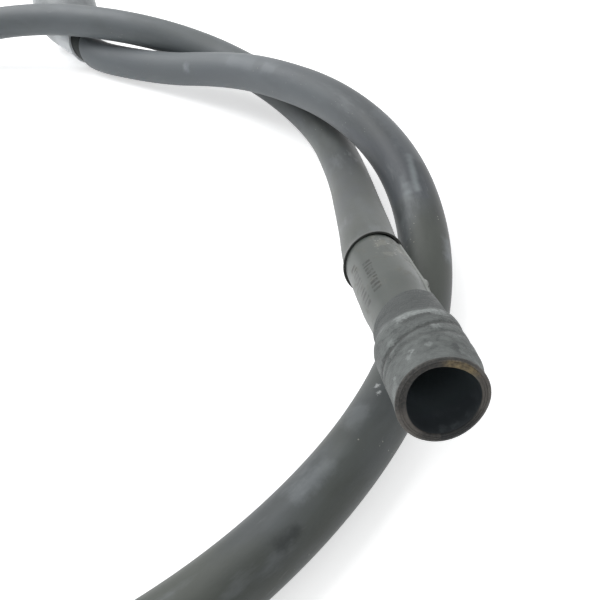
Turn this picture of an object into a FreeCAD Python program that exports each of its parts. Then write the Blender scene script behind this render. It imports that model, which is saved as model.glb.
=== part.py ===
# A low-pressure hydraulic hose with an outer sleeve and a soft, enlarged cuff on each end.
# The hose lies loose on a flat surface at z = 0. It crosses itself twice, and its near end stands up.
# Lengths are in millimetres. The origin is the middle of the footprint, and +Z is up.

import FreeCAD, Part
import math
import os

from FreeCAD import Placement, Rotation, Vector

# The hose itself, from the bore outwards
HOSE_BORE = 16.0
TUBE_WALL = 2.0
BRAID_WALL = 0.45
COVER_WALL = 0.8
LAYER_GAP = 0.05  # the bond between one layer and the next

# The thin printed sleeve that shows between the near cuff and the outer sleeve
MARKER_WALL = 0.3

# The outer sleeve, which slides on over the hose
SLEEVE_WALL = 0.85
SLEEVE_GAP = 0.2
SLEEVE_START = 100.0  # from the near mouth
NEAR_BAND = 1.2  # bare hose between the marker sleeve and the outer sleeve
FAR_BAND = 12.0  # bare hose between the outer sleeve and the far cuff

# The near cuff: a socket, a shoulder and a short neck
NEAR_MOUTH_BORE = 22.2
NEAR_SOCKET_DEPTH = 30.0
NEAR_LINING_WALL = 0.8
NEAR_PLY_WALL = 0.7
NEAR_PLY_SHORT = 3.0  # how far the ply stops short of the bottom of the socket
NEAR_COVER_WALL = 1.4
NEAR_SHOULDER_LEAD = 5.0  # how far before the bottom of the socket the shoulder starts
NEAR_SHOULDER_LENGTH = 6.5
NEAR_NECK_WALL = 0.65
NEAR_NECK_LENGTH = 11.5

# The far cuff: a wide socket that narrows in a bell to a long neck
FAR_MOUTH_BORE = 46.0
FAR_SOCKET_DEPTH = 17.0
FAR_BELL_LENGTH = 30.0
FAR_NECK_LENGTH = 29.0
FAR_LINING_WALL = 1.5
FAR_PLY_WALL = 0.9
FAR_COVER_WALL = 2.5
FAR_NECK_WALL = 1.8

RIM_ROUND = 0.6  # the outer edge of each mouth
NECK_ROUND = 0.3  # the edge at the end of the near cuff's neck

# How the hose lies: each point is x, y and how far the hose is lifted off the surface there
FAR_MOUTH_TILT = 3.6  # what the far cuff's slope adds to the height of its mouth
ROUTE = [
    (227.4, -223.0, 65.4),
    (220.2, -145.0, 44.1),
    (221.2, -68.0, 18.1),
    (220.5, 3.0, 0.4),
    (208.5, 66.0, 0.0),
    (170.5, 131.0, 5.1),
    (113.0, 178.0, 17.2),
    (42.0, 203.5, 29.2),
    (-34.0, 226.5, 26.2),
    (-102.5, 228.0, 17.6),
    (-161.0, 208.0, 2.6),
    (-209.0, 164.0, 0.0),
    (-241.0, 103.0, 0.0),
    (-255.0, 28.0, 0.0),
    (-249.0, -52.0, 0.0),
    (-223.0, -128.0, 0.0),
    (-177.0, -196.0, 0.0),
    (-116.0, -249.0, 0.0),
    (-46.0, -284.0, 0.0),
    (28.0, -297.0, 0.0),
    (98.0, -285.0, 0.0),
    (159.0, -251.0, 0.0),
    (208.0, -201.0, 0.0),
    (241.0, -143.0, 0.3),
    (255.0, -80.0, 10.6),
    (246.0, -17.0, 24.1),
    (216.0, 42.0, 28.8),
    (172.0, 94.0, 24.6),
    (135.0, 127.0, 16.8),
    (88.0, 163.0, 2.4),
    (21.0, 220.5, 0.0),
]
FAR_MOUTH_PLACE = (-29.5, 289.0)
ARC_SHARE = 0.45  # how much of the shorter run each arc takes up

# Radii and lengths that follow from these
bore_radius = HOSE_BORE / 2
tube_radius = bore_radius + TUBE_WALL
braid_bore = tube_radius + LAYER_GAP
braid_radius = braid_bore + BRAID_WALL
cover_bore = braid_radius + LAYER_GAP
hose_radius = cover_bore + COVER_WALL
marker_bore = hose_radius + LAYER_GAP
marker_radius = marker_bore + MARKER_WALL
sleeve_bore = hose_radius + SLEEVE_GAP
sleeve_radius = sleeve_bore + SLEEVE_WALL

near_lining_radius = NEAR_MOUTH_BORE / 2 + NEAR_LINING_WALL
near_ply_bore = near_lining_radius + LAYER_GAP
near_ply_radius = near_ply_bore + NEAR_PLY_WALL
near_cover_bore = near_ply_radius + LAYER_GAP
near_cuff_radius = near_cover_bore + NEAR_COVER_WALL
near_neck_bore = marker_radius + LAYER_GAP
near_neck_radius = near_neck_bore + NEAR_NECK_WALL
near_ply_length = NEAR_SOCKET_DEPTH - NEAR_PLY_SHORT
near_shoulder_start = NEAR_SOCKET_DEPTH - NEAR_SHOULDER_LEAD
near_shoulder_end = near_shoulder_start + NEAR_SHOULDER_LENGTH
near_cuff_length = near_shoulder_end + NEAR_NECK_LENGTH

far_lining_radius = FAR_MOUTH_BORE / 2 + FAR_LINING_WALL
far_ply_bore = far_lining_radius + LAYER_GAP
far_ply_radius = far_ply_bore + FAR_PLY_WALL
far_cover_bore = far_ply_radius + LAYER_GAP
far_cuff_radius = far_cover_bore + FAR_COVER_WALL
far_throat_lining = bore_radius + FAR_LINING_WALL
far_throat_ply_bore = far_throat_lining + LAYER_GAP
far_throat_ply = far_throat_ply_bore + FAR_PLY_WALL
far_throat_cover_bore = far_throat_ply + LAYER_GAP
far_neck_bore = hose_radius + LAYER_GAP
far_neck_radius = far_neck_bore + FAR_NECK_WALL
far_throat = FAR_SOCKET_DEPTH + FAR_BELL_LENGTH


class Run:
    """A straight stretch of the centre line."""

    def __init__(self, start, end):
        self.start = start
        self.along = (end - start).normalize()
        self.length = (end - start).Length

    def point(self, distance):
        return self.start + self.along * distance

    def heading(self, distance):
        return self.along

    def edge(self, first, last):
        return Part.LineSegment(self.point(first), self.point(last)).toShape()


class Bend:
    """An arc of the centre line, tangent to the straight stretch on each side."""

    def __init__(self, start, along, inward, radius, turn):
        self.centre = start + inward * radius
        self.along = along
        self.inward = inward
        self.radius = radius
        self.length = radius * turn

    def point(self, distance):
        angle = distance / self.radius
        across = self.inward * (-self.radius * math.cos(angle))
        return self.centre + across + self.along * (self.radius * math.sin(angle))

    def heading(self, distance):
        angle = distance / self.radius
        return self.along * math.cos(angle) + self.inward * math.sin(angle)

    def edge(self, first, last):
        middle = self.point((first + last) / 2)
        return Part.Arc(self.point(first), middle, self.point(last)).toShape()


class Route:
    """The hose's centre line, measured along itself from the near mouth."""

    def __init__(self, points):
        self.parts = []
        last = points[0]
        for before, corner, after in zip(points, points[1:], points[2:]):
            run_in = corner - before
            run_out = after - corner
            cut = ARC_SHARE * min(run_in.Length, run_out.Length)
            turn = run_in.getAngle(run_out)
            along = Vector(run_in).normalize()
            away = Vector(run_out).normalize()
            inward = (away - along * along.dot(away)).normalize()
            start = corner - along * cut
            self.parts.append(Run(last, start))
            self.parts.append(Bend(start, along, inward, cut / math.tan(turn / 2), turn))
            last = corner + away * cut
        self.parts.append(Run(last, points[-1]))
        self.length = sum(part.length for part in self.parts)

    def spans(self, first, last):
        """Each part of the line between two distances, with the distances along that part."""
        start = 0.0
        for part in self.parts:
            enter = max(first - start, 0.0)
            leave = min(last - start, part.length)
            if leave - enter > 1e-6:
                yield part, enter, leave
            start += part.length

    def wire(self, first, last):
        return Part.Wire([part.edge(enter, leave) for part, enter, leave in self.spans(first, last)])

    def sample(self, step):
        points = []
        for part, enter, leave in self.spans(0.0, self.length):
            count = max(1, round(leave / step))
            points += [part.point(leave * i / count) for i in range(count)]
        return points


def ring_face(centre, normal, inner, outer):
    disc = Part.Face(Part.Wire(Part.Circle(centre, normal, outer).toShape()))
    hole = Part.Face(Part.Wire(Part.Circle(centre, normal, inner).toShape()))
    return disc.cut(hole).Faces[0]


def tube(route, first, last, inner, outer):
    """A tube that follows the hose between two distances from the near mouth."""
    part, enter, leave = next(route.spans(first, last))
    section = ring_face(part.point(enter), part.heading(enter), inner, outer)
    solid = route.wire(first, last).makePipe(section)
    expected = math.pi * (outer**2 - inner**2) * (last - first)
    print(f"  tube {last - first:.1f} long, volume {solid.Volume:.0f}, section x length {expected:.0f}")
    return solid


def flare(start, end):
    """Two arcs in an S from one (depth, radius) to another, level at both ends."""
    half_depth = (end[0] - start[0]) / 2
    half_rise = (end[1] - start[1]) / 2
    bend = (half_depth**2 + half_rise**2) / (2 * abs(half_rise))
    angle = math.atan2(abs(half_rise), abs(half_depth))
    depth_step = math.copysign(bend * math.sin(angle), half_depth)
    rise_step = math.copysign(bend * (1 - math.cos(angle)), half_rise)
    middle = (start[0] + half_depth, start[1] + half_rise)
    return [
        ((start[0] + depth_step, start[1] + rise_step), middle),
        ((end[0] - depth_step, end[1] - rise_step), end),
    ]


def rounded(before, corner, after, size):
    """A round of the given size at a square corner: the point where it starts, then its arc."""
    start = tuple(c + math.copysign(size, b - c) * (b != c) for c, b in zip(corner, before))
    end = tuple(c + math.copysign(size, a - c) * (a != c) for c, a in zip(corner, after))
    share = 1 - math.sqrt(0.5)
    via = tuple(c + (s - c) * share + (e - c) * share for c, s, e in zip(corner, start, end))
    return [start, (via, end)]


def turned(mouth, inward, outline):
    """A solid of revolution about a cuff's axis.

    Each step of the outline is a (depth, radius) point, or a pair of them for an arc: a point on the
    arc, and its end. Depth is measured from the mouth into the hose.
    """
    here = outline[0]
    edges = []
    for step in outline[1:] + outline[:1]:
        start = Vector(*here, 0)
        if isinstance(step[0], tuple):
            via, here = step
            edges.append(Part.Arc(start, Vector(*via, 0), Vector(*here, 0)).toShape())
        elif math.dist(here, step) > 1e-6:
            here = step
            edges.append(Part.LineSegment(start, Vector(*here, 0)).toShape())
    solid = Part.Face(Part.Wire(edges)).revolve(Vector(0, 0, 0), Vector(1, 0, 0), 360)
    place = Placement(mouth, Rotation(Vector(1, 0, 0), inward))
    return solid.transformed(place.toMatrix(), True)


def straight_layer(mouth, inward, length, inner, outer):
    return turned(mouth, inward, [(0.0, inner), (length, inner), (length, outer), (0.0, outer)])


def bell_layer(mouth, inward, mouth_radii, throat_radii):
    """One layer of the far cuff: level in the socket, then narrowing to the end of the hose."""
    inner_socket = (FAR_SOCKET_DEPTH, mouth_radii[0])
    inner_throat = (far_throat, throat_radii[0])
    outer_throat = (far_throat, throat_radii[1])
    outer_socket = (FAR_SOCKET_DEPTH, mouth_radii[1])
    outline = [(0.0, mouth_radii[0]), inner_socket]
    outline += flare(inner_socket, inner_throat)
    outline += [outer_throat]
    outline += flare(outer_throat, outer_socket)
    outline += [(0.0, mouth_radii[1])]
    return turned(mouth, inward, outline)


def near_cuff(mouth, inward):
    rim = (0.0, near_cuff_radius)
    shoulder_start = (near_shoulder_start, near_cuff_radius)
    shoulder_end = (near_shoulder_end, near_neck_radius)
    neck_edge = (near_cuff_length, near_neck_radius)
    neck_lip = (near_cuff_length, near_neck_bore)
    cover = [
        (0.0, near_cover_bore),
        (near_ply_length, near_cover_bore),
        (near_ply_length, near_ply_bore),
        (NEAR_SOCKET_DEPTH, near_ply_bore),
        (NEAR_SOCKET_DEPTH, near_neck_bore),
        neck_lip,
    ]
    cover += rounded(neck_lip, neck_edge, shoulder_end, NECK_ROUND)
    cover += [shoulder_end]
    cover += flare(shoulder_end, shoulder_start)
    cover += rounded(shoulder_start, rim, (0.0, near_cover_bore), RIM_ROUND)
    return {
        "near_cuff_cover": turned(mouth, inward, cover),
        "near_cuff_ply": straight_layer(mouth, inward, near_ply_length, near_ply_bore, near_ply_radius),
        "near_cuff_lining": straight_layer(
            mouth, inward, NEAR_SOCKET_DEPTH, NEAR_MOUTH_BORE / 2, near_lining_radius
        ),
    }


def far_cuff(route, mouth, inward):
    rim = (0.0, far_cuff_radius)
    socket_bore = (FAR_SOCKET_DEPTH, far_cover_bore)
    throat_bore = (far_throat, far_throat_cover_bore)
    throat_edge = (far_throat, far_neck_radius)
    socket_edge = (FAR_SOCKET_DEPTH, far_cuff_radius)
    cover = [(0.0, far_cover_bore), socket_bore]
    cover += flare(socket_bore, throat_bore)
    cover += [throat_edge]
    cover += flare(throat_edge, socket_edge)
    cover += rounded(socket_edge, rim, (0.0, far_cover_bore), RIM_ROUND)
    bell = turned(mouth, inward, cover)
    neck_end = route.length - far_throat
    neck = tube(route, neck_end - FAR_NECK_LENGTH, neck_end, far_neck_bore, far_neck_radius)
    return {
        "far_cuff_cover": bell.fuse(neck).removeSplitter(),
        "far_cuff_ply": bell_layer(
            mouth, inward, (far_ply_bore, far_ply_radius), (far_throat_ply_bore, far_throat_ply)
        ),
        "far_cuff_lining": bell_layer(
            mouth, inward, (FAR_MOUTH_BORE / 2, far_lining_radius), (bore_radius, far_throat_lining)
        ),
    }


def hose(route):
    """The three bonded layers, from the bottom of the near socket to the throat of the far cuff."""
    first = NEAR_SOCKET_DEPTH
    last = route.length - far_throat
    return {
        "inner_tube": tube(route, first, last, bore_radius, tube_radius),
        "textile_braid": tube(route, first, last, braid_bore, braid_radius),
        "hose_cover": tube(route, first, last, cover_bore, hose_radius),
    }


def sleeves(route):
    marker_end = SLEEVE_START - NEAR_BAND
    sleeve_end = route.length - far_throat - FAR_NECK_LENGTH - FAR_BAND
    return {
        "near_marker_sleeve": tube(route, NEAR_SOCKET_DEPTH, marker_end, marker_bore, marker_radius),
        "outer_sleeve": tube(route, SLEEVE_START, sleeve_end, sleeve_bore, sleeve_radius),
    }


def least_gap(route, step=3.0, apart=150.0):
    """The least gap between the outer sleeve and itself, measured on points of the centre line."""
    points = route.sample(step)
    skip = int(apart / step)
    least = min(
        (points[i] - points[j]).Length for i in range(len(points)) for j in range(i + skip, len(points))
    )
    return least - 2 * sleeve_radius


def main():
    far_mouth_lift = far_cuff_radius + FAR_MOUTH_TILT - sleeve_radius
    places = ROUTE + [(*FAR_MOUTH_PLACE, far_mouth_lift)]
    route = Route([Vector(x, y, sleeve_radius + lift) for x, y, lift in places])
    radii = [part.radius for part in route.parts if isinstance(part, Bend)]
    print("length", round(route.length, 1), "least radius", round(min(radii), 1))
    print("radii", [round(radius) for radius in radii])
    print("least gap of the sleeve to itself", round(least_gap(route), 2))
    print("straight at the near end", round(route.parts[0].length, 1))
    print("straight at the far end", round(route.parts[-1].length, 1))

    near_mouth = route.parts[0].point(0.0)
    near_inward = route.parts[0].along
    far_mouth = route.parts[-1].point(route.parts[-1].length)
    far_inward = route.parts[-1].along * -1
    print("near mouth", near_mouth, "outward", near_inward * -1)
    print("far mouth", far_mouth, "outward", far_inward * -1)

    solids = hose(route)
    solids.update(sleeves(route))
    solids.update(near_cuff(near_mouth, near_inward))
    solids.update(far_cuff(route, far_mouth, far_inward))

    os.makedirs("parts", exist_ok=True)
    for name, shape in solids.items():
        box = shape.optimalBoundingBox()
        print(f"{name}: {len(shape.Solids)} solid, valid {shape.isValid()}, volume {shape.Volume:.0f},",
              f"x {box.XMin:.1f} {box.XMax:.1f} y {box.YMin:.1f} {box.YMax:.1f}",
              f"z {box.ZMin:.2f} {box.ZMax:.2f}")
        shape.exportStep(f"parts/{name}.step")


main()
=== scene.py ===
# %% [markdown]
# # A hydraulic hose with soft ends
# The object is one flexible hose, 2.2 metres long, in a loose outer sleeve. It lies in a loop that
# crosses itself, and both of its ends are enlarged soft cuffs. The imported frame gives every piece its
# place, and this script gives it its surface.

# %% Load the frame
import math

import bmesh
import bpy
import numpy as np
from mathutils import Matrix


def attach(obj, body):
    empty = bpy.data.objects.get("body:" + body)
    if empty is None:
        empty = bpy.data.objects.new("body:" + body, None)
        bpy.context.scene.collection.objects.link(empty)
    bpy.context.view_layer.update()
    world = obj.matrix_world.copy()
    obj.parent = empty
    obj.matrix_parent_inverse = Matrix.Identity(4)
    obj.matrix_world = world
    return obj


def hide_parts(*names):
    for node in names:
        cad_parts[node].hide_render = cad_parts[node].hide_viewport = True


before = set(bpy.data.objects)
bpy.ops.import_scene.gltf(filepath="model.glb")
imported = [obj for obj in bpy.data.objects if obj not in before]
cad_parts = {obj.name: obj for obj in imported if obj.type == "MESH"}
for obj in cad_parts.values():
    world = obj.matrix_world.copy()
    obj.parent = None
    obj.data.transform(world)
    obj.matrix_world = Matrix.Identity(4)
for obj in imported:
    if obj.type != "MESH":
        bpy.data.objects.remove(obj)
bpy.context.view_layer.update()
print("nodes:", sorted(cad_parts))

# %% [markdown]
# ## The camera
# The photograph was taken from close by, a little above the near mouth, looking down at the hose. The
# camera could be aimed with a Track To constraint, but its tilt and roll were worked out from the
# photograph, so two rotations say them directly. The lens follows from the field of view.

# %% Camera
CAMERA_PLACE = (0.189, -0.326, 0.21245)
CAMERA_TILT = 42.95  # degrees below the horizon
CAMERA_ROLL = -1.52
LENS = 36.35  # millimetres, on a sensor 36 mm wide
SENSOR = 36

lens = bpy.data.cameras.new("camera")
lens.lens = LENS
lens.sensor_width = SENSOR
lens.sensor_fit = "HORIZONTAL"
lens.clip_start = 0.01
camera = bpy.data.objects.new("camera", lens)
camera.matrix_world = (
    Matrix.Translation(CAMERA_PLACE)
    @ Matrix.Rotation(math.radians(90 - CAMERA_TILT), 4, "X")
    @ Matrix.Rotation(math.radians(CAMERA_ROLL), 4, "Z")
)
bpy.context.scene.collection.objects.link(camera)
bpy.context.scene.camera = camera
bpy.context.scene.view_settings.view_transform = "Standard"
print("camera at", CAMERA_PLACE)

# %% [markdown]
# ## The line of the hose
# A hose bends in one smooth curve. Its route is a short list of points, each with x, y and how far the
# hose is lifted off the floor there. A NURBS spline takes them as control points. Its order is set after
# the points are added, because set before, it falls back to straight runs.

# %% Route
SLEEVE_RADIUS = 0.0124
FAR_CUFF_RADIUS = 0.028
FAR_MOUTH_TILT = 0.0054
ROUTE = [
    (0.2277, -0.2230, 0.0648),
    (0.2202, -0.1450, 0.0441),
    (0.2212, -0.0680, 0.0181),
    (0.2205, 0.0030, 0.0004),
    (0.2085, 0.0660, 0.0),
    (0.1705, 0.1310, 0.0051),
    (0.1130, 0.1775, 0.0172),
    (0.0420, 0.1990, 0.0291),
    (-0.0340, 0.2250, 0.0271),
    (-0.1025, 0.2280, 0.0176),
    (-0.1610, 0.2080, 0.0026),
    (-0.2090, 0.1640, 0.0),
    (-0.2410, 0.1030, 0.0),
    (-0.2550, 0.0280, 0.0),
    (-0.2490, -0.0520, 0.0),
    (-0.2230, -0.1280, 0.0),
    (-0.1770, -0.1960, 0.0),
    (-0.1160, -0.2490, 0.0),
    (-0.0460, -0.2840, 0.0),
    (0.0280, -0.2970, 0.0),
    (0.0980, -0.2850, 0.0),
    (0.1590, -0.2510, 0.0),
    (0.2086, -0.2010, 0.0004),
    (0.2415, -0.1430, 0.0003),
    (0.2557, -0.0800, 0.0106),
    (0.2467, -0.0170, 0.0244),
    (0.2163, 0.0420, 0.0300),
    (0.1720, 0.0940, 0.0256),
    (0.1350, 0.1290, 0.0170),
    (0.0780, 0.1685, 0.0022),
    (-0.0060, 0.2190, 0.0),
    (-0.0260, 0.2890, FAR_CUFF_RADIUS + FAR_MOUTH_TILT - SLEEVE_RADIUS),
]


def spline_points(places):
    """The points of a smooth curve that has these places as its control points."""
    curve = bpy.data.curves.new("route", "CURVE")
    curve.dimensions = "3D"
    curve.resolution_u = 24
    spline = curve.splines.new("NURBS")
    spline.points.add(len(places) - 1)
    for point, (x, y, lift) in zip(spline.points, places):
        point.co = (x, y, SLEEVE_RADIUS + lift, 1)
    spline.order_u = 3
    spline.use_endpoint_u = True
    holder = bpy.data.objects.new("route", curve)
    mesh = bpy.data.meshes.new_from_object(holder)
    points = np.array([vertex.co[:] for vertex in mesh.vertices])
    bpy.data.objects.remove(holder)
    bpy.data.meshes.remove(mesh)
    return points


# %% [markdown]
# Every piece of the hose is placed by its distance from the near mouth. So the curve becomes a table of
# distances, centres and directions. The section of the hose must not spin as it travels, and a fixed up
# vector would spin it where the hose climbs. So each step carries the last direction over, which is
# called a rotation-minimising frame.

# %% Centre line
class CentreLine:
    def __init__(self, points):
        steps = np.linalg.norm(np.diff(points, axis=0), axis=1)
        self.distance = np.concatenate([[0.0], np.cumsum(steps)])
        self.length = float(self.distance[-1])
        self.centre = points
        self.ahead = np.gradient(points, self.distance, axis=0)
        self.ahead /= np.linalg.norm(self.ahead, axis=1)[:, None]
        up = np.array([0.0, 0.0, 1.0])
        self.up = np.empty_like(points)
        for i, ahead in enumerate(self.ahead):
            up = up - ahead * (up @ ahead)
            up /= np.linalg.norm(up)
            self.up[i] = up

    def read(self, table, distance):
        return np.stack([np.interp(distance, self.distance, column) for column in table.T], axis=1)

    def at(self, distance):
        """The centres at these distances, with the directions ahead, up and to the side."""
        ahead = self.read(self.ahead, distance)
        ahead /= np.linalg.norm(ahead, axis=1)[:, None]
        up = self.read(self.up, distance)
        up -= ahead * (up * ahead).sum(axis=1)[:, None]
        up /= np.linalg.norm(up, axis=1)[:, None]
        return self.read(self.centre, distance), ahead, up, np.cross(ahead, up)


line = CentreLine(spline_points(ROUTE))
print(f"the hose is {line.length:.4f} m long, on {len(line.centre)} points")

# %% [markdown]
# ## How a piece is swept along the hose
# All the pieces are walls that go round the hose: tubes, sleeves and cuffs. A curve with a bevel would
# make a tube, but not a wall with two faces, a shoulder or a dent. So a piece is given as an outline of
# stations, each a distance and a radius, that goes once round the wall's section. Every station becomes
# a ring of points. Each point also keeps its place on the straightened hose, which the materials read,
# so that their grain and marks bend with the hose. Soft rubber is seldom true: the near end wanders
# sideways by less than a millimetre, its mouth is cut slantwise and its sleeve is fuller in places. All
# of these are smooth courses between a few stops.

# %% Swept walls
STRAIGHT = "straight"  # the attribute with each point's place on the straightened hose
SHARP = math.radians(50)


def between(distance, stops):
    """A smooth course through stops of (distance, value), level before the first and after the last."""
    value = np.full_like(distance, stops[0][1])
    for (first, low), (last, high) in zip(stops, stops[1:]):
        share = np.clip((distance - first) / (last - first), 0.0, 1.0)
        value = value + (high - low) * share * share * (3 - 2 * share)
    return value


WANDER = [
    (0.0, 0.0),
    (0.003, 0.0),
    (0.009, 0.0008),
    (0.030, 0.0008),
    (0.060, 0.0004),
    (0.078, 0.0),
    (0.095, -0.0007),
    (0.140, 0.0),
]


def swept(name, outline, around, relief=None, set_back=None):
    """A closed wall from stations of (distance, radius). relief gives what is added to the radius at a
    distance, an angle (0 on top, a quarter turn to the hose's right) and a radius. set_back gives how
    far a point sits further along the hose than its station."""
    stations = np.array(outline)
    distance, radius = stations[:, :1], stations[:, 1:]
    angle = np.linspace(0.0, 2 * math.pi, around, endpoint=False)[None, :]
    reach = radius + between(distance, WANDER) * np.sin(angle)
    if relief:
        reach = reach + relief(distance, angle, radius)
    centre, ahead, up, side = line.at(stations[:, 0])
    across = up[:, None] * np.cos(angle)[..., None] + side[:, None] * np.sin(angle)[..., None]
    points = centre[:, None] + across * reach[..., None]
    if set_back:
        points = points + ahead[:, None] * set_back(distance, angle)[..., None]
    travelled = np.repeat(distance, around, axis=1)
    straight = np.stack([reach * np.cos(angle), reach * np.sin(angle), travelled], axis=2)

    rings = len(outline)
    ring, spoke = np.meshgrid(np.arange(rings), np.arange(around), indexing="ij")
    next_ring, next_spoke = (ring + 1) % rings, (spoke + 1) % around
    corners = [(ring, spoke), (ring, next_spoke), (next_ring, next_spoke), (next_ring, spoke)]
    faces = np.stack([r * around + s for r, s in corners], axis=2).reshape(-1, 4)

    mesh = bpy.data.meshes.new(name)
    mesh.from_pydata(points.reshape(-1, 3).tolist(), [], faces.tolist())
    place = mesh.attributes.new(STRAIGHT, "FLOAT_VECTOR", "POINT")
    place.data.foreach_set("vector", straight.astype(np.float32).ravel())
    body = bmesh.new()
    body.from_mesh(mesh)
    bmesh.ops.recalc_face_normals(body, faces=body.faces)
    body.to_mesh(mesh)
    body.free()
    mesh.shade_smooth()
    mesh.set_sharp_from_angle(angle=SHARP)
    piece = bpy.data.objects.new(name, mesh)
    bpy.context.scene.collection.objects.link(piece)
    return piece


# %% [markdown]
# An outline is put together from a few kinds of stretch: level, S-shaped where a cuff narrows, and
# round where rubber was cut or moulded. No real edge is perfectly sharp, and a small round catches the
# light as the real one does.

# %% Parts of an outline
QUARTER = [math.radians(angle) for angle in (15, 30, 45, 60, 75, 90)]


def level(first, last, radius, step):
    count = max(1, round(abs(last - first) / step))
    return [(first + (last - first) * i / count, radius) for i in range(count + 1)]


def flare(start, end, count=14):
    """A smooth S between two stations, level at both ends."""
    shares = [i / count for i in range(1, count + 1)]
    rise = [share * share * (3 - 2 * share) for share in shares]
    return [
        (start[0] + (end[0] - start[0]) * share, start[1] + (end[1] - start[1]) * up)
        for share, up in zip(shares, rise)
    ]


def outer_round(end, radius, size, facing):
    """A quarter round at a wall's outer edge. facing is 1 at its far end and -1 at its near end."""
    stations = [
        (end - facing * size * (1 - math.sin(turn)), radius - size * (1 - math.cos(turn)))
        for turn in QUARTER
    ]
    return stations[::facing]


def inner_round(end, radius, size, facing):
    """The same at a wall's inner edge, where the outline turns back along the inside."""
    stations = [
        (end - facing * size * (1 - math.sin(turn)), radius + size * (1 - math.cos(turn)))
        for turn in QUARTER
    ]
    return stations[::-facing]


def tube_wall(first, last, inner, outer, step, edge):
    outline = level(first + edge, last - edge, outer, step)
    outline += outer_round(last, outer, edge, 1)
    outline += level(last, first, inner, step)
    return outline + outer_round(first, outer, edge, -1)


print("a quarter round has", len(QUARTER), "stations")

# %% [markdown]
# ## Shader maths
# A material that is built node by node is hard to read. So one small class wraps a node's output and
# gives it the operators of a number, also the reflected ones, so that 1 - mask works. An expression on
# wrapped outputs then adds its own Math nodes. Every other node comes from one method.

# %% Values and shading
class Value:
    """A node's output that takes part in arithmetic."""

    def __init__(self, shading, socket):
        self.shading = shading
        self.socket = socket

    def calculate(self, operation, *others):
        return self.shading.node("Math", {"operation": operation}, dict(enumerate((self, *others))))

    def __add__(self, other):
        return self.calculate("ADD", other)

    def __sub__(self, other):
        return self.calculate("SUBTRACT", other)

    def __mul__(self, other):
        return self.calculate("MULTIPLY", other)

    def __truediv__(self, other):
        return self.calculate("DIVIDE", other)

    def __pow__(self, other):
        return self.calculate("POWER", other)

    def __rsub__(self, other):
        return self.shading.node("Math", {"operation": "SUBTRACT"}, {0: other, 1: self})

    __radd__ = __add__
    __rmul__ = __mul__

    def size(self):
        return self.calculate("ABSOLUTE")

    def clamped(self):
        return self.shading.node("Clamp", {}, {"Value": self})

    def ramp(self, low, high):
        """0 below low, 1 above high and smooth between them. low may be the larger of the two."""
        settings = {"interpolation_type": "SMOOTHSTEP"}
        return self.shading.node("MapRange", settings, {"Value": self, "From Min": low, "From Max": high})

    def near(self, middle, half, soft):
        """1 within half of the middle, fading to 0 over soft."""
        return (self - middle).size().ramp(half + soft, half)


class Shading:
    """Adds nodes to the node tree of a material or the world."""

    def __init__(self, tree):
        self.tree = tree
        tree.nodes.clear()

    def node(self, kind, settings, sockets, output=0):
        made = self.tree.nodes.new("ShaderNode" + kind)
        for name, value in settings.items():
            if name == "stops":
                for element, (place, colour) in zip(made.color_ramp.elements, value):
                    element.position = place
                    element.color = (*colour, 1)
            else:
                setattr(made, name, value)
        for name, value in sockets.items():
            if isinstance(value, Value):
                self.tree.links.new(value.socket, made.inputs[name])
            else:
                made.inputs[name].default_value = value
        return Value(self, made.outputs[output]) if made.outputs else made

    def blend(self, share, first, second):
        """A colour between two colours."""
        colours = [c if isinstance(c, Value) else (*c, 1) for c in (first, second)]
        return self.node("Mix", {"data_type": "RGBA"}, {0: share, 6: colours[0], 7: colours[1]}, 2)

    def noise(self, place, scale, detail=3.0, stretch=(1, 1, 1), roughness=0.5):
        """Cloudy noise from 0 to 1. scale counts its patches per metre."""
        scaled = self.node("VectorMath", {"operation": "MULTIPLY"}, {0: place, 1: stretch})
        sockets = {"Vector": scaled, "Scale": scale, "Detail": detail, "Roughness": roughness}
        return self.node("TexNoise", {}, sockets)


# %% [markdown]
# Each material then starts from the same three things: the place on the straightened hose, its angle
# round the hose in degrees, and its distance from the near mouth. It ends in one Principled BSDF. The
# height goes through a Bump node, for what is too fine to be worth geometry.

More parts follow.
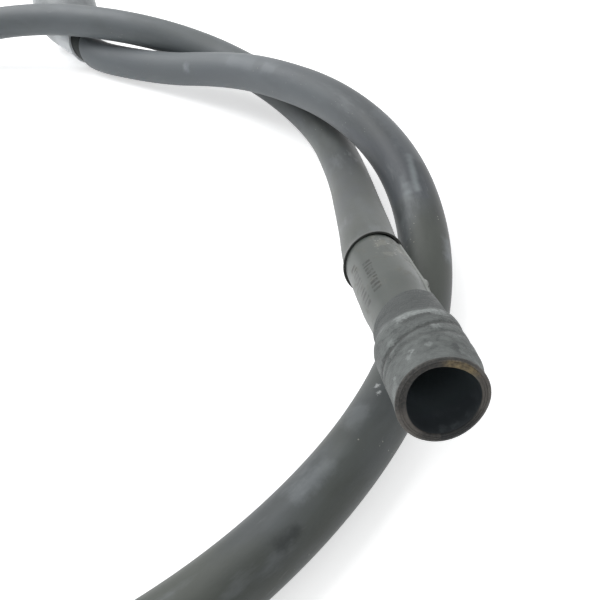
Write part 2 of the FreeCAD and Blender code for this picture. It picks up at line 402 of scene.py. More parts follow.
# %% Surfaces
class Surface(Shading):
    def __init__(self, name):
        self.material = bpy.data.materials.new(name)
        self.material.use_nodes = True
        super().__init__(self.material.node_tree)
        self.place = self.node("Attribute", {"attribute_name": STRAIGHT}, {}, "Vector")
        above = self.node("SeparateXYZ", {}, {0: self.place}, "X")
        self.distance = Value(self, above.socket.node.outputs["Z"])
        beside = Value(self, above.socket.node.outputs["Y"])
        turn = self.node("Math", {"operation": "ARCTAN2"}, {0: beside, 1: above})
        self.angle = turn * math.degrees(1)
        self.radius = (above * above + beside * beside) ** 0.5

    def grain(self, scale, detail=3.0, stretch=(1, 1, 1), roughness=0.5):
        return self.noise(self.place, scale, detail, stretch, roughness)

    def streaks(self, scale, shorter=0.03):
        """Grain that is drawn out along the hose, as an extruder leaves it."""
        return self.grain(scale, 2.0, (1, 1, shorter))

    def flecks(self, scale, size):
        """Small round specks, 1 inside and 0 outside."""
        spread = self.node("TexVoronoi", {}, {"Vector": self.place, "Scale": scale}, "Distance")
        return spread.ramp(size, size * 0.5)

    def marks(self, places, soft, ripple, scale):
        """Marks at chosen places: distance, angle, half length, half width in degrees and strength. Noise
        of this scale shifts their edges by the ripple, so that none of them is a neat patch."""
        degrees = math.degrees(1 / SLEEVE_RADIUS)
        along = self.distance + (self.grain(scale, 4.0, (1, 1, 1), 0.7) - 0.5) * ripple
        around = self.angle + (self.grain(scale * 1.1, 4.0, (1, 1, 1.1), 0.7) - 0.5) * (ripple * degrees)
        total = 0.0
        for place, turn, half_length, half_width, strength in places:
            mark = along.near(place, half_length, soft) * around.near(turn, half_width, soft * degrees)
            total = total + mark * strength
        return total.clamped()

    def coat(self, colour, roughness, height=None, depth=0.0, **fixed):
        """The surface itself. fixed gives sockets that are the same all over."""
        sockets = {"Base Color": colour, "Roughness": roughness}
        if height:
            bump = {"Height": height, "Distance": depth, "Strength": 1.0}
            sockets["Normal"] = self.node("Bump", {}, bump, "Normal")
        for name, value in fixed.items():
            sockets[name.replace("_", " ")] = value
        shader = self.node("BsdfPrincipled", {}, sockets)
        self.node("OutputMaterial", {}, {"Surface": shader})
        return self.material


def dress(piece, node, material):
    """Gives a piece its material, and puts it in the place of its node in the frame."""
    piece.data.materials.append(material)
    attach(piece, "root")
    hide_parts(node)
    print(f"{piece.name}: {len(piece.data.polygons)} faces, instead of {node}")
    return piece


# %% [markdown]
# ## The stage
# The floor is a plain pale sheet. In the photograph it is so bright that it reads as white, with only a
# soft shadow beside the hose. More light would do that, but it would bleach the hose too. So the floor
# adds a little light of its own that only the camera and reflections see.

# %% Floor
FLOOR_HALF = 4.0
FLOOR_COLOUR = (0.90, 0.91, 0.915)
FLOOR_GLOW = 0.55


def seen_directly(shading):
    """1 for rays that end in the eye: straight on, mirrored, or through glass."""
    path = shading.node("LightPath", {}, {}, "Is Camera Ray").socket.node.outputs
    straight_on, mirrored, through_glass = (
        Value(shading, path[name]) for name in ("Is Camera Ray", "Is Glossy Ray", "Is Transmission Ray")
    )
    return (straight_on + mirrored + through_glass).clamped()


def floor_finish():
    material = bpy.data.materials.new("pale_floor")
    material.use_nodes = True
    floor = Shading(material.node_tree)
    glow = seen_directly(floor) * FLOOR_GLOW
    shader = floor.node(
        "BsdfPrincipled",
        {},
        {
            "Base Color": (*FLOOR_COLOUR, 1),
            "Roughness": 0.9,
            "Specular IOR Level": 0.0,
            "Emission Color": floor.node("CombineColor", {}, {"Red": glow, "Green": glow, "Blue": glow}),
            "Emission Strength": 1.0,
        },
    )
    floor.node("OutputMaterial", {}, {"Surface": shader})
    return material


corners = [(x * FLOOR_HALF, y * FLOOR_HALF, 0.0) for x, y in ((-1, -1), (1, -1), (1, 1), (-1, 1))]
floor_mesh = bpy.data.meshes.new("floor")
floor_mesh.from_pydata(corners, [], [(0, 1, 2, 3)])
floor = bpy.data.objects.new("floor", floor_mesh)
floor_mesh.materials.append(floor_finish())
bpy.context.scene.collection.objects.link(floor)
print("floor is", 2 * FLOOR_HALF, "m across")

# %% [markdown]
# In the photograph the hose is lighter at its left and along its back edges, dark on the side that faces
# the camera, and its shadows are faint. So the room itself is bright above, behind and to the left, and
# dim where the photographer stood. A large panel on that side adds a soft shadow. A single hard lamp
# would put a dark edge on the floor, which the photograph lacks.

# %% Light
BRIGHT_SIDE = (-0.45, 0.60, 0.66)
ROOM_BRIGHT = 0.80
ROOM_DIM = 0.10
PANEL_SIZE = 1.5
PANEL_PLACE = (-0.95, 0.70, 1.60)
PANEL_POWER = 30.0

world = bpy.data.worlds.new("room")
world.use_nodes = True
bpy.context.scene.world = world
room = Shading(world.node_tree)
direction = room.node("TexCoord", {}, {}, "Generated")
facing = room.node("VectorMath", {"operation": "DOT_PRODUCT"}, {0: direction, 1: BRIGHT_SIDE}, "Value")
room_light = facing.ramp(-0.7, 0.9) * (ROOM_BRIGHT - ROOM_DIM) + ROOM_DIM
seen = seen_directly(room)
strength = seen + (1 - seen) * room_light
sky = room.node("Background", {}, {"Color": (1, 1, 1, 1), "Strength": strength})
room.node("OutputWorld", {}, {"Surface": sky})

panel_light = bpy.data.lights.new("panel", "AREA")
panel_light.size = PANEL_SIZE
panel_light.energy = PANEL_POWER
panel = bpy.data.objects.new("panel", panel_light)
panel.location = PANEL_PLACE
panel.rotation_euler = (-panel.location).to_track_quat("-Z", "Y").to_euler()
bpy.context.scene.collection.objects.link(panel)
print("panel at", panel.location[:])

# %% [markdown]
# ## The hose
# Under its sleeve, the hose is three bonded layers: an oil-proof inner tube, a textile braid that takes
# the pressure, and a cover. The inner two show only at the ends, inside the cuffs. The cover shows as a
# thin dark ring near the front and as a dark band at the far end. All three are plain tubes.

# %% Sizes of the hose
BORE_RADIUS = 0.008
TUBE_RADIUS = 0.010
BRAID_BORE = 0.01005
BRAID_RADIUS = 0.0105
COVER_BORE = 0.01055
HOSE_RADIUS = 0.01135
NEAR_SOCKET_DEPTH = 0.030
FAR_THROAT = 0.047  # from the far mouth to the end of the hose
HOSE_STEP = 0.006
HOSE_AROUND = 48

hose_first = NEAR_SOCKET_DEPTH
hose_last = line.length - FAR_THROAT
print(f"the bonded hose is {hose_last - hose_first:.3f} m long")


# %% Rubber and braid of the hose
def inner_rubber():
    surface = Surface("inner_rubber")
    haze = surface.grain(60)
    colour = surface.blend(haze, (0.014, 0.016, 0.018), (0.024, 0.026, 0.028))
    return surface.coat(colour, 0.42 + haze * 0.15, surface.grain(900), 0.00004)


def braid_textile():
    """Two sets of yarns that cross each other on the slant, worked out from the angle and distance."""
    surface = Surface("braid_textile")
    lean = surface.angle / 15
    travel = surface.distance * 420
    left = (lean + travel).calculate("SINE")
    right = (lean - travel).calculate("SINE")
    yarn = left.calculate("MAXIMUM", right)
    fuzz = surface.grain(2200)
    colour = surface.blend((yarn * 0.5 + fuzz * 0.5).clamped(), (0.16, 0.12, 0.07), (0.42, 0.33, 0.2))
    return surface.coat(colour, 0.85 - fuzz * 0.1, yarn + fuzz * 0.3, 0.0002)


def cover_rubber():
    surface = Surface("cover_rubber")
    haze = surface.grain(45, 4.0)
    dust = surface.grain(260, 4.0).ramp(0.55, 0.8)
    colour = surface.blend(haze, (0.010, 0.013, 0.012), (0.024, 0.030, 0.029))
    colour = surface.blend(dust * 0.2, colour, (0.07, 0.08, 0.075))
    return surface.coat(colour, 0.62 + haze * 0.2, surface.grain(1500) + surface.streaks(900) * 0.5, 0.00005)


# %% Hose pieces
def hose_tube(name, inner, outer):
    return swept(name, tube_wall(hose_first, hose_last, inner, outer, HOSE_STEP, 0.0002), HOSE_AROUND)


inner_tube = hose_tube("inner_tube_wall", BORE_RADIUS, TUBE_RADIUS)
dress(inner_tube, "inner_tube", inner_rubber())
braid = hose_tube("textile_braid_wall", BRAID_BORE, BRAID_RADIUS)
dress(braid, "textile_braid", braid_textile())
hose_cover = hose_tube("hose_cover_wall", COVER_BORE, HOSE_RADIUS)
dress(hose_cover, "hose_cover", cover_rubber())

# %% [markdown]
# ## The outer sleeve
# A rubber jacket slides over the hose and covers nearly all of it. It is the largest surface in
# the photograph: satin, dark grey with a blue cast, cloudy where the rubber has bloomed, and scuffed
# where it was handled. Along the far strands its colour is lighter, which is painted glare. Extrusion
# leaves faint lines along it. Its wall follows the hose with a very slight waviness, because a jacket
# that slides on is never perfectly round.

# %% Outer sleeve
SLEEVE_BORE = 0.01155
SLEEVE_START = 0.0947
SLEEVE_LIP = 0.0010
FAR_SLANT = 0.009
FAR_NECK_LENGTH = 0.026
FAR_BAND = 0.016
SLEEVE_STEP = 0.004
LIP_STEP = 0.001
LIP_LENGTH = 0.020
SLEEVE_EDGE = 0.0003
SLEEVE_AROUND = 72
LIP_FADE = 0.0035
LIP_SLANT = (0.0029, 0.0008)  # to the right and towards the top
SLACK = 0.0002
SLACK_FADE = 0.030
HIGH_BEND = [(1.62, 0.0), (1.69, 0.00035), (1.95, 0.00035), (2.03, 0.0)]
OVAL = 0.00008
DENTS = 0.00004
FAR_SLANT_ANGLE = math.radians(25)

far_cuff_length = FAR_THROAT + FAR_NECK_LENGTH
sleeve_end = line.length - far_cuff_length - FAR_BAND


def sleeve_shape(distance, angle, radius):
    """Flared at its lip, fuller in the bend that stands highest, and nowhere quite round."""
    lip = SLEEVE_LIP * np.exp((SLEEVE_START - distance) / LIP_FADE)
    slack = SLACK * np.exp((SLEEVE_START - distance) / SLACK_FADE)
    full = between(distance, HIGH_BEND)
    oval = np.sin(2 * angle + 7.0 * distance) * np.sin(11.0 * distance + 0.7)
    dents = np.sin(3 * angle - 31.0 * distance) * np.sin(23.0 * distance)
    return lip + slack + full + OVAL * oval + DENTS * dents


def far_slant(distance, angle):
    """At the far end, the sleeve and the cuff end slantwise, so that the bare band shows from the side."""
    fade = between(
        distance,
        [
            (sleeve_end - 0.030, 0.0),
            (sleeve_end, 1.0),
            (sleeve_end + 0.015, 1.0),
            (sleeve_end + 0.045, 0.0),
        ],
    )
    return fade * FAR_SLANT * np.cos(angle - FAR_SLANT_ANGLE)


def slanted_ends(distance, angle):
    """The sleeve was cut slantwise: near the camera, its right side starts further back than its left."""
    fade = between(distance, [(SLEEVE_START, 1.0), (SLEEVE_START + LIP_LENGTH, 0.0)])
    to_right, to_top = LIP_SLANT
    return fade * (to_right * np.sin(angle) + to_top * np.cos(angle)) + far_slant(distance, angle)


SLEEVE_SCUFFS = [
    # distance, angle, half length, half width in degrees, strength
    (1.742, 50, 0.004, 0, 0.60),
    (1.825, 30, 0.022, 22, 0.22),
    (2.032, -64, 0.0, 0, 0.90),
    (1.945, -32, 0.004, 6, 0.35),
    (1.975, -30, 0.012, 10, 0.25),
    (1.635, -25, 0.004, 5, 0.25),
    (1.603, -8, 0.008, 0, 0.35),
]
SLEEVE_STREAKS = [
    # a thin light streak, and a smudge beside it
    (1.804, 8, 0.0006, 0, 0.55),
    (1.800, 5, 0.0006, 0, 0.70),
    (1.796, 2, 0.0006, 0, 0.80),
    (1.792, 0, 0.0006, 0, 0.90),
    (1.788, -2, 0.0006, 0, 0.90),
    (1.784, -4, 0.0006, 0, 0.90),
    (1.780, -5, 0.0006, 0, 0.80),
    (1.788, -30, 0.003, 0, 0.30),
    (1.782, -26, 0.003, 2, 0.40),
    (1.777, -31, 0.002, 3, 0.35),
]
SLEEVE_SPATTER = [(1.652, -22, 0.0006, 2, 0.9), (1.649, -13, 0.0004, 1, 0.9)]
SLEEVE_STAIN = [(1.583, 28, 0.003, 0, 0.8)]


def sleeve_rubber():
    surface = Surface("sleeve_rubber")
    distance = surface.distance
    wavy_distance = distance + (surface.grain(60, 4.0, (1, 1, 1), 0.6) - 0.5) * 0.03
    clouds = surface.grain(48, 5.0, (1, 1, 0.4), 0.6).ramp(0.30, 0.70)
    tint = surface.grain(30, 3.0, (1, 1, 0.5)).ramp(0.42, 0.62)
    tint = (tint * 0.55 + wavy_distance.ramp(1.772, 1.780) * 0.7).clamped()
    bloom = surface.grain(21, 4.0, (1, 1, 0.4), 0.6).ramp(0.46, 0.64)
    smudges = surface.grain(85, 5.0, (1, 1, 0.3), 0.65).ramp(0.55, 0.72)
    lines = surface.streaks(1500)
    rubs = surface.grain(210, 4.0, (1, 1, 0.18), 0.6).ramp(0.66, 0.78)
    spots = surface.flecks(330, 0.12) * surface.grain(31, 2.0).ramp(0.56, 0.62)
    scuffs = surface.marks(SLEEVE_SCUFFS, 0.0050, 0.008, 150)
    streak = surface.marks(SLEEVE_STREAKS, 0.0028, 0.0012, 120)
    spatter = surface.marks(SLEEVE_SPATTER, 0.0008, 0.005, 500)
    stain = surface.marks(SLEEVE_STAIN, 0.004, 0.006, 180)
    # Painted shade: the cut end of the sleeve at its near side is painted almost black.
    cut = distance.ramp(SLEEVE_START + 0.0008, SLEEVE_START + 0.0004)
    # Painted glare: the colour along the far strands is painted lighter.
    far_glare = distance.ramp(0.28, 0.50) * distance.ramp(1.2, 0.8) + distance.ramp(1.80, 2.00)

    green = surface.blend(clouds, (0.036, 0.042, 0.037), (0.070, 0.078, 0.069))
    blue = surface.blend(clouds, (0.040, 0.047, 0.055), (0.076, 0.085, 0.096))
    colour = surface.blend(tint, green, blue)
    # painted glare on the far strands, mottled by the bloom clouds
    colour = surface.blend(far_glare * (0.62 + bloom * 0.34), colour, (0.156, 0.176, 0.190))
    colour = surface.blend(bloom * 0.5, colour, (0.115, 0.130, 0.140))
    colour = surface.blend(smudges * 0.4, colour, (0.16, 0.175, 0.185))
    colour = surface.blend(rubs * 0.5, colour, (0.26, 0.27, 0.27))
    colour = surface.blend(spots * 0.7, colour, (0.36, 0.35, 0.31))
    colour = surface.blend(scuffs * 0.6, colour, (0.30, 0.33, 0.35))
    colour = surface.blend(streak * 0.45, colour, (0.30, 0.34, 0.35))
    colour = surface.blend(spatter * 0.8, colour, (0.40, 0.42, 0.42))
    colour = surface.blend(stain, colour, (0.014, 0.018, 0.018))
    # painted shade on the sleeve's cut end
    colour = surface.blend(cut, colour, (0.018, 0.021, 0.018))
    roughness = 0.54 + clouds * 0.10 + rubs * 0.14 - bloom * 0.05
    height = lines * 0.5 + surface.grain(1300, 3.0) * 0.5 + rubs * 0.4
    return surface.coat(colour, roughness, height, 0.00006, Sheen_Weight=0.25, Sheen_Roughness=0.4)


sleeve_outline = level(SLEEVE_START + SLEEVE_EDGE, SLEEVE_START + LIP_LENGTH, SLEEVE_RADIUS, LIP_STEP)
sleeve_outline += level(SLEEVE_START + LIP_LENGTH, sleeve_end - SLEEVE_EDGE, SLEEVE_RADIUS, SLEEVE_STEP)[1:]
sleeve_outline += outer_round(sleeve_end, SLEEVE_RADIUS, SLEEVE_EDGE, 1)
sleeve_outline += level(sleeve_end, SLEEVE_START + LIP_LENGTH, SLEEVE_BORE, SLEEVE_STEP)
sleeve_outline += level(SLEEVE_START + LIP_LENGTH, SLEEVE_START, SLEEVE_BORE, LIP_STEP)[1:]
sleeve_outline += outer_round(SLEEVE_START, SLEEVE_RADIUS, SLEEVE_EDGE, -1)
sleeve = swept("outer_sleeve_wall", sleeve_outline, SLEEVE_AROUND, sleeve_shape, slanted_ends)
dress(sleeve, "outer_sleeve", sleeve_rubber())

# %% [markdown]
# ## The marker sleeve
# A thin film covers the hose between the near cuff and the outer sleeve. It is lighter and glossier
# than the rubber, and it stands off the hose a little where nothing presses it down. Its long seam is a
# double lip that ends in a small burr. The seam is real geometry, because it shows against the light at
# the edge of the hose. The two rows of printed marks are plain bars.

# %% Marker sleeve
MARKER_BORE = 0.0114
MARKER_RADIUS = 0.0117
MARKER_END = 0.097
MARKER_STEP = 0.001
MARKER_EDGE = 0.0001
MARKER_AROUND = 240
SEAM_ANGLE = 57  # degrees
SEAM_HALF_GAP = 2.6
SEAM_WIDTH = 1.3
SEAM_HEIGHT = 0.0008
BURR_PLACE = 0.0575
BURR_HEIGHT = 0.0014
BURR_HALF_LENGTH = 0.0028
BURR_HALF_WIDTH = 2.2
FILM_LOOSE = [(0.045, 0.0), (0.060, 0.0007), (0.094, 0.00075), (MARKER_END, 0.0004)]


def film_shape(distance, angle, radius):
    """The film stands off the hose, and its seam is a double lip with a burr near the cuff."""
    outside = radius > MARKER_BORE + 0.00015
    loose = between(distance, FILM_LOOSE)
    off = np.degrees(angle) - SEAM_ANGLE
    lips = sum(np.exp(-(((off - side * SEAM_HALF_GAP) / SEAM_WIDTH) ** 2)) for side in (-1, 1))
    across = np.exp(-((off / BURR_HALF_WIDTH) ** 2))
    burr = across * np.exp(-(((distance - BURR_PLACE) / BURR_HALF_LENGTH) ** 4))
    return outside * (loose + SEAM_HEIGHT * lips + BURR_HEIGHT * burr)


# %% Printed bars
PRINT_ROWS = [
    # first and last distance, angle, half height in degrees, bars
    (0.0515, 0.0750, -38, 8.5, 9),
    (0.0495, 0.0815, -68, 8.5, 11),
]
BAR_SHARE = 0.20
PRINT_STRENGTH = 0.85


def printed_bars(surface):
    """Two rows of plain bars, some thin and some thick."""
    print_mask = 0.0
    for first, last, angle, half, bars in PRINT_ROWS:
        pitch = (last - first) / bars
        count = (surface.distance - first) / pitch
        place = surface.node("CombineXYZ", {}, {"X": count.calculate("FLOOR"), "Y": angle})
        chance = surface.node("TexWhiteNoise", {"noise_dimensions": "3D"}, {"Vector": place}, "Value")
        off = (count.calculate("FRACT") - 0.5).size()
        bar = (off - chance * BAR_SHARE).ramp(0.26, 0.12)
        height = (surface.angle - angle).size() - (1 - chance) * 2.5
        inside = surface.distance.near((first + last) / 2, (last - first) / 2 - 0.0002, 0.0004)
        print_mask = print_mask + bar * height.ramp(half, half - 3.0) * inside
    return print_mask * PRINT_STRENGTH


def marker_film():
    surface = Surface("marker_film")
    haze = surface.grain(75, 4.0, (1, 1, 0.5))
    dirt = surface.grain(240, 5.0, (1, 1, 0.6), 0.65).ramp(0.52, 0.72)
    by_ring = surface.distance.ramp(0.068, 0.078) * surface.angle.near(20, 22, 18)
    tan = surface.grain(170, 3.0).ramp(0.46, 0.62) * by_ring
    specks = surface.flecks(700, 0.34) * surface.grain(260, 2.0).ramp(0.48, 0.58) * by_ring
    dark_specks = surface.flecks(610, 0.30) * surface.grain(190, 2.0, (1, 1.1, 1)).ramp(0.50, 0.60) * by_ring
    # Painted shade: the groove between the seam's two lips is painted dark.
    seam_groove_shade = surface.angle.near(SEAM_ANGLE, 1.0, 1.4)
    # Painted highlight: the seam's two lips are painted pale.
    lips = surface.angle.near(SEAM_ANGLE, 4.0, 1.6)
    faded = surface.grain(420, 3.0).ramp(0.30, 0.58)
    lines = surface.streaks(1200)

    colour = surface.blend(haze, (0.052, 0.060, 0.055), (0.082, 0.093, 0.086))
    colour = surface.blend(dirt * 0.3, colour, (0.17, 0.16, 0.13))
    colour = surface.blend(tan * 0.3, colour, (0.23, 0.22, 0.18))
    colour = surface.blend(specks * 0.5, colour, (0.42, 0.41, 0.36))
    colour = surface.blend(dark_specks * 0.6, colour, (0.05, 0.048, 0.035))
    colour = surface.blend(printed_bars(surface) * faded, colour, (0.012, 0.012, 0.011))
    # painted highlight on the seam's lips
    colour = surface.blend(lips * 0.7, colour, (0.25, 0.265, 0.25))
    # painted shade in the seam's groove
    colour = surface.blend(seam_groove_shade * 0.9, colour, (0.016, 0.018, 0.016))
    roughness = 0.34 + haze * 0.1 + dirt * 0.2
    return surface.coat(colour, roughness, lines * 0.4 + dirt * 0.6, 0.00005)


film_outline = tube_wall(NEAR_SOCKET_DEPTH, MARKER_END, MARKER_BORE, MARKER_RADIUS, MARKER_STEP, MARKER_EDGE)
marker = swept("marker_sleeve_wall", film_outline, MARKER_AROUND, film_shape)
dress(marker, "near_marker_sleeve", marker_film())

# %% [markdown]
# ## The near cuff
# The near end is the closest thing in the photograph. It is a soft rubber socket in three layers: a
# smooth dark lining, a ply of rubbered fabric that shows golden brown where the rim has worn, and a
# thick matt cover. The cover narrows over a shoulder to a short neck on the hose. Two shallow grooves
# and rubbed arcs show where a clamp used to sit.

# %% Sizes of the near cuff
NEAR_MOUTH_RADIUS = 0.0111
NEAR_LINING_RADIUS = 0.0119
NEAR_PLY_BORE = 0.01195
NEAR_PLY_RADIUS = 0.01265
NEAR_PLY_LENGTH = 0.027
NEAR_COVER_BORE = 0.0127
NEAR_CUFF_RADIUS = 0.0141
NEAR_SHOULDER_START = 0.025
NEAR_SHOULDER_END = 0.0315
NEAR_NECK_BORE = 0.01175
NEAR_NECK_RADIUS = 0.0124
NEAR_CUFF_LENGTH = 0.043
RIM_ROUND = 0.0006
NECK_ROUND = 0.0003
CUFF_AROUND = 128

# %% Near cuff's shape
MOUTH_FADE = 0.011
MOUTH_OVAL = 0.00033
MOUTH_SLANT = 0.0010
MOUTH_DRAWN_OUT = 0.0006
MOUTH_FLATTENED = 0.0008
GROOVE_DEPTH = 0.00028
LUMPS = 0.00005
NECK_SLIM = 0.00028  # less than what the neck's rounded end stands off the bore
SEAM_SWELLING = 0.0030
CUFF_COURSE = [
    (0.0, -0.0003),
    (0.004, -0.0005),
    (0.0085, 0.0),
    (0.014, 0.0003),
    (0.023, 0.0003),
    (0.030, 0.0),
]
NECK_BULGE = [(0.026, 0.0), (0.035, 0.0012), (NEAR_CUFF_LENGTH, 0.0007)]


def turned(angle, middle, half):
    """1 at an angle in degrees, fading round the hose like a bell."""
    off = (np.degrees(angle) - middle + 180) % 360 - 180
    return np.exp(-((off / half) ** 2))


def mouth_shape(distance, angle, radius):
    """In every layer, the mouth is flattened at the top and drawn out to the right."""
    fade = between(distance, [(0.0, 1.0), (MOUTH_FADE, 0.0)])
    drawn_out = MOUTH_DRAWN_OUT * turned(angle, 92, 35)
    flattened = MOUTH_FLATTENED * turned(angle, 5, 38)
    return fade * (MOUTH_OVAL * np.cos(2 * angle) + drawn_out - flattened)


def lining_shape(distance, angle, radius):
    """The lining's lip is thicker on the left and at the top right, where it is worn to a bevel."""
    inside = radius < NEAR_LINING_RADIUS - 0.0002
    fade = between(distance, [(0.0, 1.0), (0.007, 0.0)])
    thicker = 0.0006 * turned(angle, -95, 45) + 0.0005 * turned(angle, 25, 35)
    thinner = 0.0003 * turned(angle, 120, 35)
    return mouth_shape(distance, angle, radius) - inside * fade * (thicker - thinner)


def slanted_cuff(distance, angle):
    """The mouth leans forward at the bottom, and the shoulder and the neck start later on the right."""
    right = np.sin(angle)
    mouth = between(distance, [(0.0, MOUTH_SLANT), (MOUTH_FADE, 0.0)]) * np.cos(angle)
    shoulder = between(distance, [(0.008, 0.0), (0.028, 1.0), (0.0315, 1.0), (0.043, 0.0)])
    neck_end = between(distance, [(0.0315, 0.0), (0.043, 1.0)])
    over_seam = SEAM_SWELLING * turned(angle, 62, 13)
    late_neck = 0.0042 * right + 0.0015 * right**2 * (right > 0) + over_seam
    return mouth + shoulder * (0.004 * right**2 + 0.002 * right) + neck_end * late_neck


def cuff_shape(distance, angle, radius):
    """The cuff is drawn in behind its rim, grooved where a clamp sat and swollen on the right."""
    right = np.sin(angle)
    outside = radius > NEAR_PLY_RADIUS + 0.0001
    body = outside & (distance < NEAR_SHOULDER_END)
    course = between(distance, CUFF_COURSE)
    deep = np.exp(-(((distance - 0.0176 - 0.0030 * right) / 0.0010) ** 2))
    shallow = np.exp(-(((distance - 0.0133 - 0.0015 * right) / 0.0011) ** 2))
    swell = np.exp(-(((distance - 0.0232) / 0.0022) ** 2))
    lumps = np.sin(5 * angle + 240 * distance) * np.sin(170 * distance + 0.4)
    carved = course - GROOVE_DEPTH * (deep + 0.7 * shallow) + 0.00018 * swell + LUMPS * lumps
    bulge = turned(angle, 80, 28) * between(distance, NECK_BULGE)
    slim = np.clip(-right, 0, 1) * between(distance, [(0.031, 0.0), (0.036, -NECK_SLIM)])
    shell = radius > NEAR_NECK_BORE + 0.0003
    return mouth_shape(distance, angle, radius) + body * carved + shell * (distance > 0.026) * (bulge + slim)


near_lining = swept(
    "near_lining_wall",
    level(0.0001, NEAR_SOCKET_DEPTH, NEAR_LINING_RADIUS, 0.002)
    + level(NEAR_SOCKET_DEPTH, 0.0004, NEAR_MOUTH_RADIUS, 0.002)
    + inner_round(0.0, NEAR_MOUTH_RADIUS, 0.0004, -1),
    CUFF_AROUND,
    lining_shape,
    slanted_cuff,
)
near_ply = swept(
    "near_ply_wall",
    tube_wall(0.0, NEAR_PLY_LENGTH, NEAR_PLY_BORE, NEAR_PLY_RADIUS, 0.002, 0.0002),
    CUFF_AROUND,
    mouth_shape,
    slanted_cuff,
)
near_cover = swept(
    "near_cover_wall",
    outer_round(0.0, NEAR_CUFF_RADIUS, RIM_ROUND, -1)
    + level(RIM_ROUND, NEAR_SHOULDER_START, NEAR_CUFF_RADIUS, 0.0004)
    + flare((NEAR_SHOULDER_START, NEAR_CUFF_RADIUS), (NEAR_SHOULDER_END, NEAR_NECK_RADIUS))
    + level(NEAR_SHOULDER_END, NEAR_CUFF_LENGTH - NECK_ROUND, NEAR_NECK_RADIUS, 0.0008)[1:]
    + outer_round(NEAR_CUFF_LENGTH, NEAR_NECK_RADIUS, NECK_ROUND, 1)
    + level(NEAR_CUFF_LENGTH, NEAR_SOCKET_DEPTH, NEAR_NECK_BORE, 0.002)
    + level(NEAR_SOCKET_DEPTH, NEAR_PLY_LENGTH, NEAR_PLY_BORE, 0.002)
    + level(NEAR_PLY_LENGTH, 0.0, NEAR_COVER_BORE, 0.002),
    CUFF_AROUND,
    cuff_shape,
    slanted_cuff,
)


# %% Finishes of the near cuff
RIM_FACE = 0.0005


def on_rim(surface):
    """1 on the cut face of the mouth and 0 on the walls."""
    return surface.distance.ramp(RIM_FACE + 0.0003, RIM_FACE - 0.0001)


def rim_colour(surface):
    """Grey-brown dirt, rubbed down to the golden fabric at the top right."""
    fuzz = surface.grain(1100, 4.0, (1, 1, 1), 0.6).ramp(0.3, 0.7)
    inner_half = surface.radius.ramp(0.0130, 0.0121)
    worn = surface.angle.near(28, 12, 26) * (0.5 + surface.grain(420, 4.0).ramp(0.3, 0.7) * 0.5) * inner_half
    beige = surface.angle.near(-125, 14, 22) * 0.55
    right_side = surface.angle.near(80, 20, 35) * 0.45
    dirty = surface.blend(fuzz, (0.030, 0.031, 0.030), (0.072, 0.068, 0.062))
    dusty = surface.blend((beige + right_side).clamped(), dirty, (0.190, 0.172, 0.155))
    below = surface.angle.size().ramp(105, 150) * surface.angle.ramp(-10, 10)
    dusty = surface.blend(below * 0.8, dusty, (0.012, 0.014, 0.016))
    golden = surface.blend(fuzz, (0.15, 0.115, 0.060), (0.36, 0.28, 0.155))
    return surface.blend(worn, dusty, golden)


def lining_rubber():
    surface = Surface("lining_rubber")
    haze = surface.grain(90, 4.0)
    rub = surface.grain(330, 5.0, (1, 1, 1), 0.6).ramp(0.50, 0.70)
    deep = surface.distance.ramp(0.002, 0.016)
    shallow_colour = surface.blend(haze, (0.026, 0.032, 0.037), (0.048, 0.056, 0.062))
    deep_colour = surface.blend(haze, (0.11, 0.135, 0.15), (0.16, 0.19, 0.21))
    colour = surface.blend(deep, shallow_colour, deep_colour)
    dusty = surface.distance.ramp(0.014, 0.004) * surface.angle.near(140, 30, 30)
    colour = surface.blend(rub * dusty * 0.4, colour, (0.14, 0.16, 0.17))
    colour = surface.blend(on_rim(surface), colour, rim_colour(surface))
    roughness = 0.5 + rub * 0.15 + on_rim(surface) * 0.3
    return surface.coat(colour, roughness, surface.grain(1200), 0.00005)


def ply_fabric():
    """Golden brown where the rim is rubbed bare, and dirty elsewhere."""
    surface = Surface("ply_fabric")
    weave = (surface.angle * 2.2).calculate("SINE") * (surface.radius * 9000).calculate("SINE")
    fuzz = surface.grain(1800, 3.0)
    return surface.coat(rim_colour(surface), 0.75 + fuzz * 0.15, weave * 0.3 + fuzz, 0.00015)


CUFF_SCUFFS = [
    (0.0250, -4, 0.0013, 26, 1.0),
    (0.0272, -22, 0.0010, 12, 0.8),
    (0.0238, 24, 0.0010, 9, 0.8),
    (0.0265, 40, 0.0004, 8, 0.7),
    (0.0112, 60, 0.0020, 8, 0.65),
    (0.0070, 70, 0.0014, 7, 0.55),
    (0.0162, 9, 0.0006, 3, 0.7),
    (0.0080, -10, 0.0002, 1, 0.9),
    (0.0082, -30, 0.0003, 1, 0.9),
    (0.0066, -37, 0.0003, 1, 0.7),
    (0.0056, 42, 0.0018, 14, 0.45),
    (0.0175, -50, 0.0010, 2, 0.35),
    (0.0135, -55, 0.0006, 2, 0.35),
    (0.0055, -67, 0.0004, 1, 0.8),
    (0.0022, -77, 0.0012, 8, 0.4),
    (0.0120, 25, 0.0006, 8, 0.3),
]


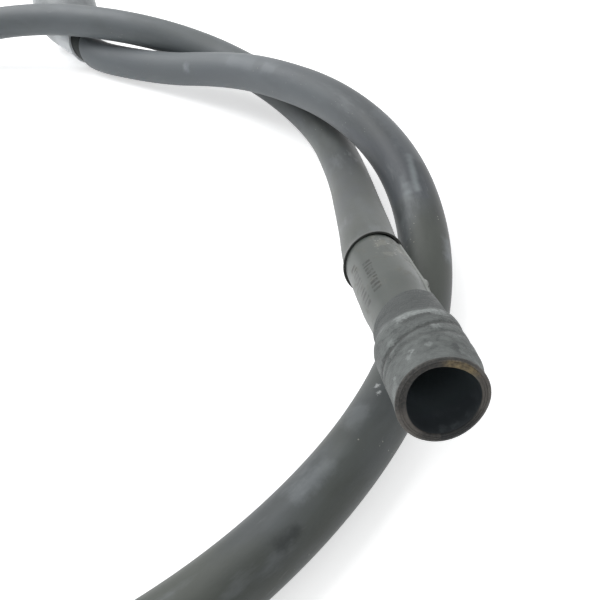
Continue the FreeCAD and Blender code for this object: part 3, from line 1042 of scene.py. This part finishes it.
def near_cuff_rubber():
    surface = Surface("near_cuff_rubber")
    distance, angle = surface.distance, surface.angle
    right = (angle * math.radians(1)).calculate("SINE")
    clouds = surface.grain(130, 5.0, (1, 1, 1), 0.6).ramp(0.30, 0.70)
    patches = surface.grain(330, 5.0, (1, 1, 1.5), 0.65).ramp(0.36, 0.64)
    mottle = surface.grain(900, 4.0, (1, 1, 1), 0.65)
    wavy_distance = distance + (surface.grain(520, 4.0, (1, 1, 1), 0.7) - 0.5) * 0.0045
    pale = surface.marks(CUFF_SCUFFS, 0.0009, 0.0045, 520) * (0.45 + mottle.ramp(0.35, 0.6) * 0.55)
    deep = (wavy_distance - right * 0.0030).near(0.0176, 0.0002, 0.0011)
    shallow = (wavy_distance - right * 0.0015).near(0.0133, 0.0002, 0.0010)
    under_scuff = wavy_distance.near(0.0225, 0.0004, 0.0010) * angle.near(4, 24, 12)
    # Painted shade: the two clamp grooves, and a band below the scuff on top, are painted dark.
    shaded_creases = (deep * 0.9 + shallow * 0.4 + under_scuff * 0.6).clamped()
    neck = distance.ramp(0.0285, 0.0315)
    # Painted shade: the right flank, which faces away from the light, is painted darker.
    shaded_flank = angle.near(112, 22, 22) * 0.6

    colour = surface.blend(clouds, (0.036, 0.042, 0.041), (0.092, 0.102, 0.100))
    colour = surface.blend(patches * 0.55, colour, (0.165, 0.180, 0.175))
    colour = surface.blend(neck * 0.7, colour, (0.050, 0.056, 0.056))
    # painted shade in the creases
    colour = surface.blend(shaded_creases * 0.75, colour, (0.018, 0.020, 0.019))
    colour = surface.blend(pale * 0.6, colour, (0.33, 0.355, 0.35))
    # painted shade on the right flank
    colour = surface.blend(shaded_flank, colour, (0.022, 0.026, 0.026))
    colour = surface.blend(on_rim(surface), colour, rim_colour(surface))
    roughness = 0.52 + patches * 0.18
    height = mottle * 0.7 + patches * 0.6 + surface.grain(1900, 3.0) * 0.3 - shaded_creases * 0.8
    return surface.coat(colour, roughness, height, 0.00028)


dress(near_lining, "near_cuff_lining", lining_rubber())
dress(near_ply, "near_cuff_ply", ply_fabric())
dress(near_cover, "near_cuff_cover", near_cuff_rubber())

# %% [markdown]
# ## The far cuff
# The far end is only just in the picture: a pale, smooth and much wider end that starts behind the dark
# band of bare hose. It is built up as the near cuff is. Inside, its wide socket narrows in a bell to the
# hose. Outside, it widens in one long, gentle flare from its neck to its mouth.

# %% Far cuff
FAR_MOUTH_RADIUS = 0.023
FAR_SOCKET_DEPTH = 0.017
FAR_LINING_WALL = 0.0015
FAR_PLY_WALL = 0.0009
LAYER_GAP = 0.00005
FAR_THROAT_COVER_BORE = 0.0105
FAR_COVER_BORE = 0.0255
FAR_NECK_BORE = 0.0114
FAR_NECK_RADIUS = 0.0132
FAR_STEP = 0.0015


def from_far(outline):
    """Turns depths from the far mouth into distances from the near one."""
    return [(line.length - depth, radius) for depth, radius in outline]


def bell_wall(mouth_radii, throat_radii):
    inner_mouth, outer_mouth = mouth_radii
    inner_throat, outer_throat = throat_radii
    return from_far(
        level(0.0, FAR_SOCKET_DEPTH, inner_mouth, FAR_STEP)
        + flare((FAR_SOCKET_DEPTH, inner_mouth), (FAR_THROAT, inner_throat))
        + [(FAR_THROAT, outer_throat)]
        + flare((FAR_THROAT, outer_throat), (FAR_SOCKET_DEPTH, outer_mouth))
        + level(FAR_SOCKET_DEPTH, 0.0, outer_mouth, FAR_STEP)[1:]
    )


far_lining_radius = FAR_MOUTH_RADIUS + FAR_LINING_WALL
far_throat_lining = BORE_RADIUS + FAR_LINING_WALL
far_lining = swept(
    "far_lining_wall",
    bell_wall((FAR_MOUTH_RADIUS, far_lining_radius), (BORE_RADIUS, far_throat_lining)),
    CUFF_AROUND,
)
far_ply = swept(
    "far_ply_wall",
    bell_wall(
        (far_lining_radius + LAYER_GAP, far_lining_radius + LAYER_GAP + FAR_PLY_WALL),
        (far_throat_lining + LAYER_GAP, far_throat_lining + LAYER_GAP + FAR_PLY_WALL),
    ),
    CUFF_AROUND,
)
far_cover_outline = (
    level(0.0, FAR_SOCKET_DEPTH, FAR_COVER_BORE, FAR_STEP)
    + flare((FAR_SOCKET_DEPTH, FAR_COVER_BORE), (FAR_THROAT, FAR_THROAT_COVER_BORE))
    + level(FAR_THROAT, far_cuff_length, FAR_NECK_BORE, FAR_STEP)
    + outer_round(far_cuff_length, FAR_NECK_RADIUS, NECK_ROUND, 1)[::-1]
    + flare((far_cuff_length - NECK_ROUND, FAR_NECK_RADIUS), (FAR_SOCKET_DEPTH, FAR_CUFF_RADIUS), 32)
    + level(FAR_SOCKET_DEPTH, RIM_ROUND, FAR_CUFF_RADIUS, FAR_STEP)[1:]
    + outer_round(0.0, FAR_CUFF_RADIUS, RIM_ROUND, -1)[::-1]
)
far_cover = swept("far_cover_wall", from_far(far_cover_outline), CUFF_AROUND, None, far_slant)


def far_cuff_rubber():
    surface = Surface("far_cuff_rubber")
    clouds = surface.grain(60, 4.0)
    patches = surface.grain(150, 4.0).ramp(0.4, 0.7)
    bell = surface.distance.ramp(line.length - 0.060, line.length - 0.042)
    pale = surface.blend(clouds, (0.80, 0.84, 0.865), (0.88, 0.91, 0.93))
    dark = surface.blend(clouds, (0.10, 0.112, 0.118), (0.19, 0.21, 0.218))
    colour = surface.blend(bell * (0.74 + patches * 0.07), pale, dark)
    return surface.coat(colour, 0.36 + clouds * 0.14, surface.grain(900, 3.0), 0.00006)


dress(far_lining, "far_cuff_lining", near_lining.data.materials[0])
dress(far_ply, "far_cuff_ply", near_ply.data.materials[0])
dress(far_cover, "far_cuff_cover", far_cuff_rubber())

# %% Cord
on_hose = (line.distance >= hose_first) & (line.distance <= hose_last)
